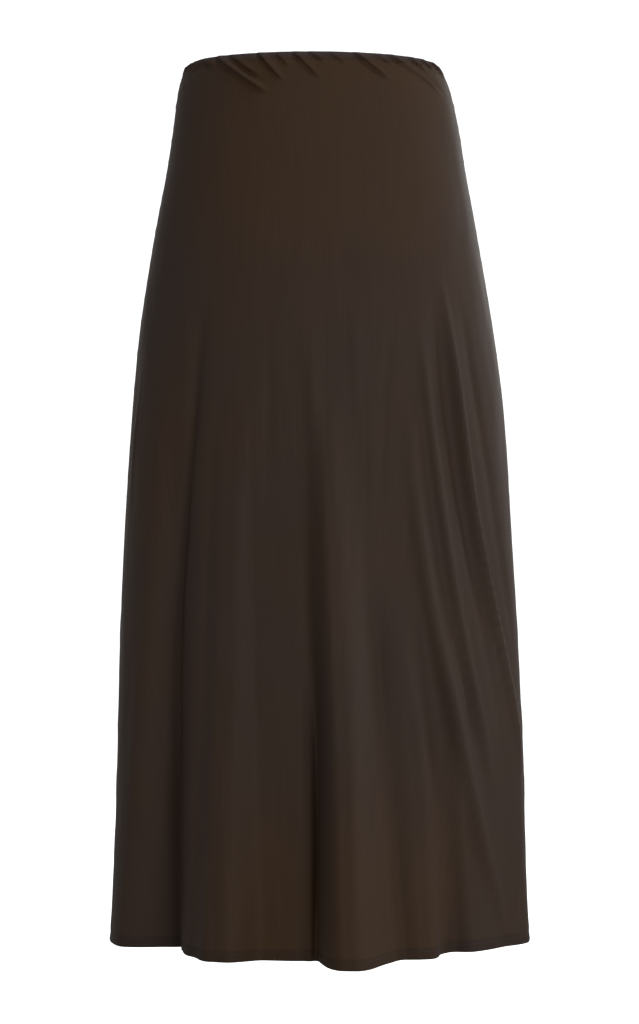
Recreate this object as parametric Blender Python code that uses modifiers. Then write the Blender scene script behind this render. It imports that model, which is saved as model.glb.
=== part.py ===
"""A midi skirt of thin jersey, hollow and hanging as it is worn, with an elastic waist and a turned-up hem.

Metres, +Z up. The origin is the centre of the waist, where the wearer's body holds the skirt. The front faces
-Y, and +X is on the right of someone who looks at the front.

A place on the cloth is given by two numbers. One is the angle around its own panel, in degrees: 0 down the
panel's centre, 90 at the seam on the +X side and -90 at the seam on the -X side. The other is the drop below
the origin. Every piece is cut flat as a grid of columns and rows, laid onto the worn shape by these two numbers
and given the cloth's thickness towards the inside with Solidify.
"""

import math
from bisect import bisect_right
from collections import namedtuple

import bmesh
import bpy
from mathutils import Vector

MM = 0.001

# Driving dimensions
LENGTH = 856 * MM  # from the top edge of the waist to the hem
CASING_HEIGHT = 8 * MM  # the tunnel that holds the elastic
CASING_THICKNESS = 3 * MM  # two layers of jersey round the elastic
SEAM_ROW = 1.2 * MM  # the panels' first row, which stands upright under the casing
CLOTH = 1.5 * MM  # wall of the two panels
TURN_UP_HEIGHT = 18 * MM  # allowance turned up inside the hem
TURN_UP_CLOTH = 1.0 * MM
SEAM_GAP = 0.4 * MM  # between pieces that are sewn together
LAYER_GAP = 0.3 * MM  # between a panel and the turn-up that lies on it
GATHER_ZONE = 40 * MM  # below the casing, where the cloth still shows the gathers

# Fineness of the grids
COLUMNS = 46  # across one panel, between its two seam columns
SEAM_COLUMN = 1.2  # degrees, a narrow column beside each side seam
GATHER_ROWS = 5  # down the gather zone, where each column is split in two
BODY_ROWS = 13  # from the gather zone down to the turn-up

# Worked out from them
CASING_BOTTOM = CASING_HEIGHT / 2  # drops, counted down from the origin
PANEL_TOP = CASING_BOTTOM + SEAM_GAP
UPRIGHT_END = PANEL_TOP + SEAM_ROW
HEM = LENGTH - CASING_HEIGHT / 2
TURN_UP_TOP = HEM - TURN_UP_HEIGHT
GATHER_END = PANEL_TOP + GATHER_ZONE
FOLDS_BEGIN = 250 * MM

# Level cuts through the worn shape, in millimetres: how far the cloth reaches from the origin's vertical to
# the left, the right, the front and the back, and how square the cut is (2 is an ellipse).
Section = namedtuple("Section", "drop left right front back squareness")
SECTIONS = (
    Section(5.6, 126.5, 128.0, 95.5, 87, 2.00),
    Section(24, 131.5, 134.5, 97, 90, 2.05),
    Section(61, 136.2, 143.1, 101, 96, 2.15),
    Section(100, 142.1, 149.7, 106, 104, 2.20),
    Section(139, 149.7, 157.4, 110, 112, 2.20),
    Section(178, 156.6, 164.2, 113, 118, 2.20),
    Section(257, 168.6, 176.4, 117, 122, 2.15),
    Section(335, 175.8, 186.6, 119, 122, 2.10),
    Section(433, 182.0, 193.6, 122, 124, 2.05),
    Section(551, 187.6, 200.4, 126, 127, 2.00),
    Section(668, 190.6, 205.8, 130, 130, 2.00),
    Section(786, 194.6, 209.6, 134, 133, 2.00),
    Section(852, 198.2, 213.4, 136, 134, 2.00),
)

# Soft folds that fall from the hips. A fold starts at a drop and leans from one angle to another as it falls,
# early where its lean is below 1 and late where it is above. Its rise is how far its crest stands out
# half-way down and at the hem, and below zero it is a valley. The two runs are the widths of its flanks and
# top is the width of its crest, in degrees at the hem.
Fold = namedtuple("Fold", "panel start start_at hem_at lean mid_rise hem_rise left_run top right_run")
FOLDS = (
    Fold("front", 255, -37, -53, 0.45, -20, -38, 17, 3, 17),
    Fold("front", 255, -26, -26, 1.0, 7, 21, 8, 5, 9),
    Fold("front", 290, 0.0, 6.5, 0.45, 29, 59, 10, 3, 15.5),
    Fold("front", 500, 21, 28.5, 0.6, 3, 6, 8, 2, 7),
    Fold("front", 480, 30, 39, 0.7, -7, -15, 9, 1.5, 9),
    Fold("front", 400, 56, 56, 1.0, -5, -13, 14, 18, 18),
    Fold("back", 270, -50, -56, 1.2, 15, 34, 12, 6, 10),
    Fold("back", 330, -31, -36, 1.0, -8, -18, 8, 2, 8),
    Fold("back", 300, -14, -12, 1.0, 26, 54, 14, 5, 10),
    Fold("back", 360, 7, 6, 1.0, -6, -16, 6, 2, 8),
    Fold("back", 280, 20, 26, 1.3, 18, 42, 10, 5, 13),
    Fold("back", 340, 43, 47, 1.0, -9, -22, 8, 2, 8),
    Fold("back", 260, 55, 64, 1.5, 10, 20, 7, 4, 10),
)
FOLD_ONSET = 0.2  # share of a fold's height over which it rises out of the smooth cloth
FOLD_TOP_WIDTH = 0.5  # how wide a fold is where it starts, as a share of its width at the hem

# Gathers that the elastic draws in. Each is a groove from the casing down to an end, in degrees and
# millimetres, with the cloth puffed up beside it.
Gather = namedtuple("Gather", "panel at end_at end_drop depth")
GATHERS = (
    Gather("front", -53, -59, 15, 1.7),
    Gather("front", -41, -20, 37, 3.6),
    Gather("front", -33, -21, 23, 2.5),
    Gather("front", -24, -13, 25, 3.1),
    Gather("front", -16, -11, 13, 1.7),
    Gather("front", -8, 3, 23, 2.5),
    Gather("front", -1, 6, 13, 2.0),
    Gather("front", 8, 14, 16, 1.3),
    Gather("front", 19, 35, 26, 2.8),
    Gather("front", 29, 37, 14, 1.8),
    Gather("front", 40, 51, 26, 2.5),
    Gather("front", 49, 60, 14, 1.7),
    Gather("front", 60, 74, 22, 2.2),
    Gather("back", -70, -61, 20, 2.0),
    Gather("back", -58, -49, 16, 1.8),
    Gather("back", -45, -30, 32, 3.1),
    Gather("back", -34, -27, 15, 1.8),
    Gather("back", -25, -12, 28, 2.8),
    Gather("back", -14, -8, 14, 1.7),
    Gather("back", -4, 9, 27, 2.9),
    Gather("back", 7, 13, 15, 1.7),
    Gather("back", 17, 31, 31, 3.2),
    Gather("back", 29, 36, 16, 1.8),
    Gather("back", 40, 52, 24, 2.5),
    Gather("back", 52, 59, 15, 1.7),
    Gather("back", 63, 73, 20, 2.0),
)
GATHER_WIDTH = 4.2  # half width of a groove and of the puff beside it, in millimetres
PUFF_SHARE = 0.7  # height of the puff as a share of the groove's depth
WAIST_MM_PER_DEGREE = 2.05  # cloth along one degree of the waist
QUIET_EDGE = 10  # degrees beside each side seam where folds and gathers die away

JERSEY_BROWN = (0.040, 0.027, 0.019, 1.0)
ELASTIC_BROWN = (0.036, 0.026, 0.020, 1.0)


def ease(share):
    """A smooth step from 0 to 1."""
    share = min(max(share, 0.0), 1.0)
    return share * share * (3 - 2 * share)


def bell(offset):
    """A smooth bump, 1 at 0 and near 0 past 2."""
    return math.exp(-offset * offset)


def section_at(drop):
    """The level cut at a drop, read smoothly from SECTIONS, in metres."""
    at = drop / MM
    last = len(SECTIONS) - 1
    i = min(max(bisect_right([row.drop for row in SECTIONS], at) - 1, 0), last - 1)
    before, low, high, after = (SECTIONS[min(max(k, 0), last)] for k in (i - 1, i, i + 1, i + 2))
    step = high.drop - low.drop
    s = (at - low.drop) / step
    values = []
    for name in ("left", "right", "front", "back", "squareness"):
        a, b = getattr(low, name), getattr(high, name)
        slope_low = (b - getattr(before, name)) / (high.drop - before.drop) * step
        slope_high = (getattr(after, name) - a) / (after.drop - low.drop) * step
        values.append(
            a * (2 * s**3 - 3 * s**2 + 1)
            + slope_low * (s**3 - 2 * s**2 + s)
            + b * (3 * s**2 - 2 * s**3)
            + slope_high * (s**3 - s**2)
        )
    left, right, front, back, squareness = values
    return Section(drop, left * MM, right * MM, front * MM, back * MM, squareness)


def smooth_cut(panel, angle, cut):
    """The point of a level cut at an angle, before folds and gathers."""
    turn = math.radians(angle)
    across, along = math.sin(turn), math.cos(turn)
    n = cut.squareness
    swell = (abs(across) ** n + abs(along) ** n) ** (-1 / n)
    middle = (cut.right - cut.left) / 2
    half_width = (cut.right + cut.left) / 2
    reach = -cut.front if panel == "front" else cut.back
    return Vector((middle + half_width * swell * across, reach * swell * along, -cut.drop))


def fold_height(panel, angle, drop):
    """How far the folds lift the cloth off its smooth shape, in metres."""
    height = 0.0
    for fold in FOLDS:
        share = (drop / MM - fold.start) / (HEM / MM - fold.start)
        if fold.panel != panel or share <= 0:
            continue
        linear, curved = 4 * fold.mid_rise - fold.hem_rise, 2 * fold.hem_rise - 4 * fold.mid_rise
        rise = share * (linear + curved * share) * ease(share / FOLD_ONSET)
        offset = angle - fold.start_at - (fold.hem_at - fold.start_at) * share**fold.lean
        offset /= FOLD_TOP_WIDTH + (1 - FOLD_TOP_WIDTH) * share
        run = fold.left_run if offset < 0 else fold.right_run
        height += rise * ease(1 - max(abs(offset) - fold.top / 2, 0) / run)
    return height * MM


def gather_height(panel, angle, drop):
    """How far the gathers lift the cloth off its smooth shape, in metres."""
    height = 0.0
    for gather in GATHERS:
        if gather.panel != panel:
            continue
        x = (angle - gather.at) * WAIST_MM_PER_DEGREE
        y = (drop - CASING_BOTTOM) / MM
        run_x = (gather.end_at - gather.at) * WAIST_MM_PER_DEGREE
        run_y = gather.end_drop - CASING_BOTTOM / MM
        length = math.hypot(run_x, run_y)
        along = (x * run_x + y * run_y) / length**2
        aside = (x * run_y - y * run_x) / length
        fade = ease((1 - along) * 2) * ease(2 + along)
        puff = PUFF_SHARE * bell((aside - 1.6 * GATHER_WIDTH) / GATHER_WIDTH)
        height += gather.depth * fade * (puff - bell(aside / GATHER_WIDTH))
    return height * MM


def cloth(panel, angle, drop):
    """The point on the outside of the cloth, which stands upright in the casing and just below it."""
    level = max(drop, UPRIGHT_END)
    cut = section_at(level)
    point = smooth_cut(panel, angle, cut)
    ahead, behind = smooth_cut(panel, angle + 0.5, cut), smooth_cut(panel, angle - 0.5, cut)
    outward = (ahead - behind).cross(Vector((0, 0, 1)))
    outward *= 1 if outward.dot(point) > 0 else -1
    quiet = ease((90 - abs(angle)) / QUIET_EDGE)
    height = fold_height(panel, angle, level) + gather_height(panel, angle, level)
    point += outward.normalized() * height * quiet
    point.z = -drop
    return point


def even_angles(panel, drop):
    """Angles that part a level cut into columns of equal cloth, so that deep folds get more of them."""
    fine = [-90 + SEAM_COLUMN + i * (180 - 2 * SEAM_COLUMN) / 360 for i in range(361)]
    points = [cloth(panel, angle, drop) for angle in fine]
    walked = [0.0]
    for a, b in zip(points, points[1:]):
        walked.append(walked[-1] + (b - a).length)
    angles = [-90.0]
    for i in range(COLUMNS + 1):
        target = walked[-1] * i / COLUMNS
        k = min(max(bisect_right(walked, target) - 1, 0), len(fine) - 2)
        share = (target - walked[k]) / (walked[k + 1] - walked[k])
        angles.append(fine[k] + share * (fine[k + 1] - fine[k]))
    return [*angles, 90.0]


def between(values, position):
    """The value at a position that may lie between two entries of a list."""
    i = min(int(position), len(values) - 2)
    return values[i] + (position - i) * (values[i + 1] - values[i])


def cut_piece(name, panel, drops, split_rows, material, collection):
    """An open sheet of cloth with rows at the given drops; the first of them have each column split in two."""
    rows = len(drops) - 1
    columns = COLUMNS + 2
    bm = bmesh.new()
    bmesh.ops.create_grid(bm, x_segments=columns, y_segments=rows, size=1)
    for vert in bm.verts:
        vert.co = Vector(((vert.co.x + 1) / 2 * columns, (1 - vert.co.y) / 2 * rows, 0))
    wide = [
        edge
        for edge in bm.edges
        if abs(edge.verts[0].co.y - edge.verts[1].co.y) < 0.5
        and edge.verts[0].co.y < split_rows + 0.5
        and 1 < (edge.verts[0].co.x + edge.verts[1].co.x) / 2 < columns - 1
    ]
    if split_rows:
        bmesh.ops.subdivide_edges(bm, edges=wide, cuts=1, use_grid_fill=True, use_single_edge=True)

    at_waist, at_hem = even_angles(panel, PANEL_TOP), even_angles(panel, HEM)
    seam = Vector((0, -SEAM_GAP / 2 if panel == "front" else SEAM_GAP / 2, 0))
    for vert in bm.verts:
        column, row, _ = vert.co
        drop = drops[round(row)]
        lean = ease(drop / FOLDS_BEGIN)
        angle = (1 - lean) * between(at_waist, column) + lean * between(at_hem, column)
        vert.co = cloth(panel, angle, drop) + seam
    bmesh.ops.triangulate(bm, faces=bm.faces[:])
    bmesh.ops.recalc_face_normals(bm, faces=bm.faces[:])
    if sum(face.normal.dot(face.calc_center_median()) for face in bm.faces) < 0:
        bmesh.ops.reverse_faces(bm, faces=bm.faces[:])
    mesh = bpy.data.meshes.new(name)
    bm.to_mesh(mesh)
    bm.free()
    mesh.shade_smooth()
    mesh.materials.append(material)
    piece = bpy.data.objects.new(name, mesh)
    collection.objects.link(piece)
    return piece


def thicken(piece, thickness, depth=0.0):
    """Give a sheet its wall, from a depth under its own points inwards."""
    solidify = piece.modifiers.new("wall", "SOLIDIFY")
    solidify.thickness = thickness
    solidify.offset = -1 - 2 * depth / thickness
    solidify.use_even_offset = True
    solidify.use_quality_normals = True


def evenly(start, end, steps):
    """Drops in even steps, without the last one."""
    return [start + (end - start) * i / steps for i in range(steps)]


def make_panel(panel, material, collection):
    """Front or back, from the casing down to the folded edge of the hem."""
    drops = [PANEL_TOP, *evenly(UPRIGHT_END, GATHER_END, GATHER_ROWS)]
    drops += [*evenly(GATHER_END, TURN_UP_TOP, BODY_ROWS), TURN_UP_TOP, HEM]
    thicken(cut_piece(f"{panel}_panel", panel, drops, GATHER_ROWS + 1, material, collection), CLOTH)


def make_turn_up(panel, material, collection):
    """The hem allowance, turned up inside the panel: the panel's own last points, moved in."""
    piece = cut_piece(f"hem_turn_up_{panel}", panel, [TURN_UP_TOP, HEM], 0, material, collection)
    thicken(piece, TURN_UP_CLOTH, CLOTH + LAYER_GAP)


def make_casing(panel, material, collection):
    """Half of the waist's tunnel with the elastic in it."""
    drops = [-CASING_BOTTOM, CASING_BOTTOM]
    piece = cut_piece(f"waist_casing_{panel}", panel, drops, 1, material, collection)
    thicken(piece, CASING_THICKNESS)


def make_material(name, colour, roughness):
    material = bpy.data.materials.new(name)
    material.use_nodes = True
    shader = material.node_tree.nodes["Principled BSDF"]
    shader.inputs["Base Color"].default_value = colour
    shader.inputs["Roughness"].default_value = roughness
    shader.inputs["Metallic"].default_value = 0.0
    material.diffuse_color = colour
    return material


def main():
    for obj in list(bpy.data.objects):
        bpy.data.objects.remove(obj)
    collection = bpy.data.collections.new("midi_skirt")
    bpy.context.scene.collection.children.link(collection)
    jersey = make_material("jersey", JERSEY_BROWN, 0.75)
    casing = make_material("gathered_casing", ELASTIC_BROWN, 0.8)
    for panel in ("front", "back"):
        make_panel(panel, jersey, collection)
        make_turn_up(panel, jersey, collection)
        make_casing(panel, casing, collection)


main()
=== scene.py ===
"""The finished looks of a midi skirt in thin brown jersey, worn on nobody, in a plain white studio.

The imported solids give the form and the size. Here the cloth is cut again as fine sheets over them, with the
small creases, the crinkled waist, the rolled hem, the stitches and the knit that the solids leave out.

Lengths in the tables are millimetres, heights on the cloth are drops below the waist, and a place across a
panel is an angle: 0 down its centre, 90 at the seam on the +X side and -90 at the seam on the -X side.
"""

from collections import namedtuple

import bmesh
import bpy
import numpy as np
from bpy.props import FloatProperty, FloatVectorProperty, PointerProperty, StringProperty
from mathutils import Matrix, Vector


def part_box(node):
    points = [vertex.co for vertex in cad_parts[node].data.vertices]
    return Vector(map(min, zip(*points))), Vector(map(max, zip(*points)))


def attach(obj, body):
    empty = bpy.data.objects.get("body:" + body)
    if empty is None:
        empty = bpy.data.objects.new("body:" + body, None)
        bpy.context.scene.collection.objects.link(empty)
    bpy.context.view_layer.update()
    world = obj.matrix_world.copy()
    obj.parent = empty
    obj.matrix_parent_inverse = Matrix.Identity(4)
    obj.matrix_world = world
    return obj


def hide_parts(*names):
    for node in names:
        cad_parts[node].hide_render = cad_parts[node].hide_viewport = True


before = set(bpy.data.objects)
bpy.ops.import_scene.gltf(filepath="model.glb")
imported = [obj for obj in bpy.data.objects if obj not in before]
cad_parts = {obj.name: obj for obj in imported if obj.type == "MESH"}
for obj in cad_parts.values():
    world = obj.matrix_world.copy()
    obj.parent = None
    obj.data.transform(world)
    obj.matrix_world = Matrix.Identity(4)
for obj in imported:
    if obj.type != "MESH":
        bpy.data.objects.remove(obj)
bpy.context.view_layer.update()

bl_info = {
    "name": "Midi skirt",
    "version": (1, 0, 0),
    "blender": (4, 5, 0),
    "location": "3D View > Sidebar > Skirt",
    "description": "Cuts the jersey of a midi skirt over its solids and sets up a white studio",
    "category": "Object",
}

MM = 0.001
SIDES = ("front", "back")
OUTWARD = {"front": 1, "back": -1}  # which side of the way from -X to +X is the outside

# What the frame says, in millimetres below the origin
HEM = -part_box("front_panel")[0].z / MM
CASING_TOP = -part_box("waist_casing_front")[1].z / MM
CASING_BOTTOM = -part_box("waist_casing_front")[0].z / MM
PANEL_TOP = -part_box("front_panel")[1].z / MM
TURN_UP = 9.5  # from the hem's edge up to its stitches
UPRIGHT_END = PANEL_TOP + 1.2  # above this the cloth stands straight up
CASING_THICKNESS = 3.0
SIDE_DIP = 3.0  # how far the casing's top sinks at the side seams
SIDE_DIP_FROM = 55  # the angle from which it sinks
SEAM_ANGLE = 90
SEAM_OVERLAP = 0.2  # how far the edges of front and back run into each other at the side seams
FOLDS_BEGIN = 250.0  # columns follow the waist above this and the hem below it
GATHERS_END = 46  # the last gather has died away here

# How many columns of faces lie across half of the skirt
PANEL_COLUMNS = 300
CASING_COLUMNS = 700
STITCH_COLUMNS = 1400
MEASURING_COLUMNS = 1440  # for finding columns of equal cloth
# Rows of faces, down a panel
GATHERED_ROWS = 40  # across the gathers
FIRST_ROW, LAST_ROW = 1.6, 15.0  # how high a row is below the gathers and above the hem's stitches
ROUND_EDGE_POINTS = 9  # round the hem's edge and the casing's top

# Level cuts through the worn shape: how far the cloth reaches to each side, and how square the cut is.
Section = namedtuple("Section", "drop left right front back squareness")
SECTIONS = (
    Section(-4, 123.6, 124.2, 94.6, 86.2, 2.00),
    Section(5.6, 126.9, 129.4, 95.5, 87, 2.00),
    Section(24, 131.5, 136.2, 97, 90, 2.05),
    Section(61, 136.2, 144.2, 101, 96, 2.15),
    Section(100, 142.1, 150.3, 106, 104, 2.20),
    Section(139, 149.7, 157.4, 110, 112, 2.20),
    Section(178, 156.6, 164.4, 113, 118, 2.20),
    Section(257, 168.6, 177.6, 117, 122, 2.15),
    Section(335, 175.8, 187.7, 119, 122, 2.10),
    Section(433, 182.4, 194.4, 122, 124, 2.05),
    Section(551, 187.9, 201.4, 126, 127, 2.00),
    Section(668, 190.6, 207.0, 130, 130, 2.00),
    Section(786, 194.6, 210.0, 134, 133, 2.00),
    Section(852, 198.2, 213.4, 136, 134, 2.00),
)

# Folds that fall to the hem. A fold starts at a drop and leans from one angle to another as it falls. Its
# rise is how far its crest stands out half-way down and at the hem, below zero for a valley. The runs are
# the widths of its flanks and top is the width of its crest, in degrees at the hem.
Fold = namedtuple("Fold", "panel start start_at hem_at lean mid_rise hem_rise left_run top right_run")
FOLDS = (
    Fold("front", 255, -37, -53, 0.45, -20, -38, 17, 3, 17),
    Fold("front", 255, -26, -26, 1.0, 7, 21, 8, 5, 9),
    Fold("front", 290, 0.0, 6.5, 0.45, 29, 59, 10, 3, 15.5),
    Fold("front", 500, 21, 28.5, 0.6, 3, 6, 8, 2, 7),
    Fold("front", 480, 30, 39, 0.7, -7, -15, 9, 1.5, 9),
    Fold("front", 400, 56, 56, 1.0, -5, -13, 14, 18, 18),
    Fold("back", 270, -50, -56, 1.2, 15, 34, 12, 6, 10),
    Fold("back", 330, -31, -36, 1.0, -8, -18, 8, 2, 8),
    Fold("back", 300, -14, -12, 1.0, 26, 54, 14, 5, 10),
    Fold("back", 360, 7, 6, 1.0, -6, -16, 6, 2, 8),
    Fold("back", 280, 20, 26, 1.3, 18, 42, 10, 5, 13),
    Fold("back", 340, 43, 47, 1.0, -9, -22, 8, 2, 8),
    Fold("back", 260, 55, 64, 1.5, 10, 20, 7, 4, 10),
)
FOLD_ONSET = 0.2  # share of a fold's height over which it rises out of the smooth cloth
FOLD_TOP_WIDTH = 0.5  # how wide a fold is where it starts, as a share of its width at the hem

# Soft ridges and troughs finer than the folds. Width is half of a crease's breadth. Its path is rows of
# drop, angle and height, below zero for a trough, and one that ends below the hem runs on through it.
Crease = namedtuple("Crease", "panel width path")
CREASES = (
    # the dark trough left of the front's middle, and the ridge beside it
    Crease("front", 7.5, ((235, -37, 0), (275, -38.8, -3.4), (335, -40.6, -6), (429, -44.3, -6.8),
                          (549, -49.6, -7.4), (660, -51.8, -8.6), (741, -53.0, -8.8), (860, -52.0, -7),
                          (1150, -51.5, -5))),
    Crease("front", 8, ((400, -52, 0), (470, -54.3, 1.8), (597, -58.8, 1.6), (710, -62, 0.8),
                        (840, -64, 0))),
    Crease("front", 4, ((290, -71, 0), (350, -73.5, 1.2), (380, -74.3, 1.2), (430, -75, 0))),
    Crease("front", 3, ((780, -47.5, 0), (830, -47.2, 0.8), (1100, -47, 0.8))),
    # the start of the main fold, a wide and a narrow trough at its foot, a ridge along its crest, and a
    # shallow trough right of that
    Crease("front", 6, ((250, -1.4, 0), (300, -1.5, 1.5), (350, -1.7, 1.7), (400, -1.9, 1.2),
                        (460, -2.2, 0.8), (520, -2.2, 0))),
    Crease("front", 7, ((500, -1.8, 0), (570, -1.3, -5), (650, -0.9, -12), (760, -0.6, -16),
                        (835, -0.8, -14), (860, -0.9, -12), (1150, -1, -12))),
    Crease("front", 3.5, ((560, -1.0, 0), (650, -0.6, -8), (760, -0.3, -13), (860, -0.6, -11),
                          (1150, -0.7, -11))),
    Crease("front", 8, ((390, 12.4, 0), (450, 11.6, 2.4), (520, 11.0, 3.6), (590, 10.2, 2.8),
                        (670, 9.0, 2.4), (760, 8.2, 2.4), (860, 8.4, 2.2), (1150, 8.4, 2.2))),
    Crease("front", 8, ((500, 17.5, 0), (560, 16.4, -2.0), (680, 15.0, -4.2), (790, 14.8, -4.2),
                        (860, 14.8, -3.8), (1150, 14.8, -3.8))),
    # folds that sweep from the right hip to the side seam, with troughs between them, and a ridge and a
    # trough that fall from them to the hem
    Crease("front", 7.5, ((320, 27.2, 0), (400, 28.6, 3.6), (497, 32.0, 6.4), (573, 36.4, 7.4),
                          (658, 43.4, 7.2), (755, 54, 5.6), (820, 65, 2.6), (850, 70, 0))),
    Crease("front", 6, ((300, 32.6, 0), (346, 33.6, -1.2), (422, 36.4, -2.4), (498, 39.8, -3.0),
                        (573, 44.6, -2.8), (660, 51, -1.8), (740, 60, 0))),
    Crease("front", 5.5, ((245, 33.2, 0), (300, 34.0, 2.8), (349, 34.8, 4.8), (438, 38.2, 6.6),
                          (517, 42.2, 6.6), (575, 46.8, 5.6), (629, 52.4, 3.6), (700, 60, 0))),
    Crease("front", 7, ((235, 40, 0), (290, 41, -3.0), (346, 42.4, -3.8), (422, 45.9, -4.0),
                        (498, 51.2, -3.4), (575, 57.6, -2.2), (660, 65, 0))),
    Crease("front", 5, ((215, 44.0, 0), (253, 45.0, 3.6), (301, 46.0, 6.2), (349, 47.2, 7.2),
                        (438, 51.6, 7.4), (518, 59.4, 6.8), (580, 67.4, 5.0), (640, 74, 3.4),
                        (700, 79, 0))),
    Crease("front", 6, ((225, 52, 0), (290, 54, -2.4), (345, 56.5, -3.0), (422, 62.5, -2.8),
                        (499, 69, -1.8), (570, 76, 0))),
    Crease("front", 7, ((500, 23, 0), (594, 25.8, 1.8), (650, 29, 2.4), (768, 32, 2.2), (1100, 33, 1.8))),
    Crease("front", 6, ((660, 38.5, 0), (754, 40.8, -1.2), (818, 43, -1.6), (1100, 45, -1.4))),
    # small ones in the middle
    Crease("front", 5, ((260, -14.9, 0), (300, -14.8, -1.0), (360, -14.6, -1.0), (450, -15, 0))),
    Crease("front", 6, ((300, -21, 0), (420, -22.5, 0.7), (560, -24, 0))),
    Crease("front", 5, ((235, 12.3, 0), (270, 12.2, 1.2), (320, 12.0, 1.0), (400, 12.4, 0))),
    Crease("front", 4, ((255, 23.4, 0), (290, 22, -1.4), (340, 19.8, -1.3), (450, 18.5, 0))),
    Crease("front", 4, ((280, 16, 0), (400, 15.8, 0.8), (520, 15.5, 0))),
    Crease("front", 4, ((330, 4.5, 0), (382, 4.3, 1.0), (430, 4.5, 0))),
    Crease("front", 7, ((600, -31, 0), (700, -31, 1.1), (845, -31, 0))),
    Crease("front", 5, ((600, -22, 0), (700, -21.5, -0.8), (820, -20.5, 0))),
    Crease("front", 5, ((620, -26.5, 0), (702, -26.4, 1.0), (810, -24.8, 1.2), (860, -24.5, 0))),
    Crease("front", 7, ((640, -16, 0), (740, -16.5, 0.8), (850, -17, 0))),
    # the back
    Crease("back", 6, ((240, -31, 0), (320, -32.5, -4.2), (440, -34, -4.4), (560, -36, -3.2),
                       (1150, -37, -2.6))),
    Crease("back", 5.5, ((260, 7.5, 0), (420, 7, -2.4), (560, 6.6, -4.4), (700, 6, -6.5), (860, 5, -6.5),
                         (1150, 5, -6.5))),
    Crease("back", 6, ((300, -22.5, 0), (400, -25, 2.8), (520, -31, 4.2), (640, -40, 4.0), (740, -52, 2.4),
                       (810, -60, 0))),
    Crease("back", 6, ((260, -27, 0), (400, -31, -3.2), (520, -38, -3.4), (640, -48, 0))),
    Crease("back", 5, ((235, -41, 0), (340, -44, 3.4), (460, -52, 3.8), (580, -64, 2.6), (660, -72, 0))),
    Crease("back", 5.5, ((250, 29, 0), (380, 31, 3.2), (500, 36, 4.0), (620, 43, 3.6), (740, 52, 2.2),
                         (830, 62, 0))),
    Crease("back", 6, ((250, 37, 0), (380, 41, -3.4), (500, 48, -3.2), (640, 60, 0))),
    Crease("back", 5, ((225, 48, 0), (340, 51, 3.8), (450, 58, 3.6), (580, 70, 0))),
    Crease("back", 5, ((280, -4, 0), (420, -3.5, -1.2), (560, -3, 0))),
    Crease("back", 6, ((300, 12, 0), (410, 13, 1.1), (520, 14, 0))),
    Crease("back", 5, ((300, -12, 0), (400, -12.5, 0.9), (500, -13, 0))),
    Crease("back", 7, ((600, 0.5, 0), (720, 0, 1.2), (845, 0, 0))),
    Crease("back", 6, ((640, -22, 0), (740, -22.5, -1.1), (850, -23, 0))),
    Crease("back", 9, ((520, -66, 0), (650, -67, 1.6), (790, -68, 0))),
)

# Gathers that the elastic draws in. Each is a groove with a roll of cloth along its upper side, and runs
# down and to one side from its start. A depth below zero puts the roll in the groove's place.
Gather = namedtuple("Gather", "panel start start_at end end_at depth width roll")
GATHERS = (
    Gather("front", -4, -60, 9, -66, -2.0, 1.8, 0.6),
    Gather("front", 2, -57, 10, -47, 2.0, 2.6, 0.7),
    Gather("front", -4, -49, 16, -36, 1.6, 2.4, 1.5),
    Gather("front", 9, -39, 39, -18.5, 2.6, 2.0, 0.5),
    Gather("front", -4, -44.8, 36.1, -17.5, -4.2, 2.6, 0.3),
    Gather("front", -3, -42, 23, -22, 2.5, 2.1, 1.0),
    Gather("front", -4, -26, 27, -12.5, 2.8, 1.7, 1.4),
    Gather("front", 1, -16, 12, -10.5, 1.3, 1.7, 1.2),
    Gather("front", -2, -9, 25, 2.6, 2.2, 1.6, 1.1),
    Gather("front", -4, -3, 8, 5, 1.7, 1.5, 0.7),
    Gather("front", -1, 7, 10, 14, 1.0, 1.8, 1.3),
    Gather("front", -4, 17.2, 25, 33.6, 2.0, 1.5, 1.5),
    Gather("front", -4, 25.5, 11, 38.5, 1.3, 2.2, 0.9),
    Gather("front", -3, 34, 7, 42, 1.3, 2.4, 0.7),
    Gather("front", -4, 37, 33, 66, -2.8, 2.2, 0.4),
    Gather("front", -3, 47, 12, 58, 1.7, 1.6, 1.0),
    Gather("front", -4, 55, 9, 66, 1.7, 1.5, 1.0),
    Gather("front", -4, 64, 14, 79, 1.8, 1.6, 1.2),
    Gather("back", -3, -76, 12, -66, 1.0, 1.7, 1.0),
    Gather("back", -4, -70, 20, -58, 1.8, 2.0, 0.9),
    Gather("back", -3, -60, 14, -50, 1.4, 1.8, 0.9),
    Gather("back", -4, -50, 33, -29, 2.7, 2.0, 0.9),
    Gather("back", -2, -39, 14, -28, 1.3, 2.0, 1.0),
    Gather("back", -4, -29, 29, -11, 2.4, 1.8, 0.9),
    Gather("back", -3, -18, 13, -9, 1.5, 1.6, 0.8),
    Gather("back", -4, -9, 28, 8, 2.5, 1.8, 0.9),
    Gather("back", -2, 3, 12, 11, 1.2, 1.8, 1.2),
    Gather("back", -4, 12, 31, 31, 2.7, 2.0, 0.8),
    Gather("back", -3, 25, 15, 36, 1.4, 1.8, 0.9),
    Gather("back", -4, 35, 25, 52, 2.1, 1.8, 0.9),
    Gather("back", -3, 47, 12, 57, 1.2, 1.8, 1.0),
    Gather("back", -4, 58, 20, 73, 1.7, 1.8, 1.0),
    Gather("back", -4, 66, 10, 76, 1.0, 1.6, 1.0),
)
ROLL_AWAY = 1.7  # how far a roll lies from its groove, in widths of the groove
ROLL_WIDTH = 1.5  # and how wide it is
GROOVE_START, GROOVE_END = 1.25, 0.85  # how wide a groove is at its start and end, as shares of its width
GATHER_LEAD = 1 / 6  # share of its length that a gather reaches back past its start
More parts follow.
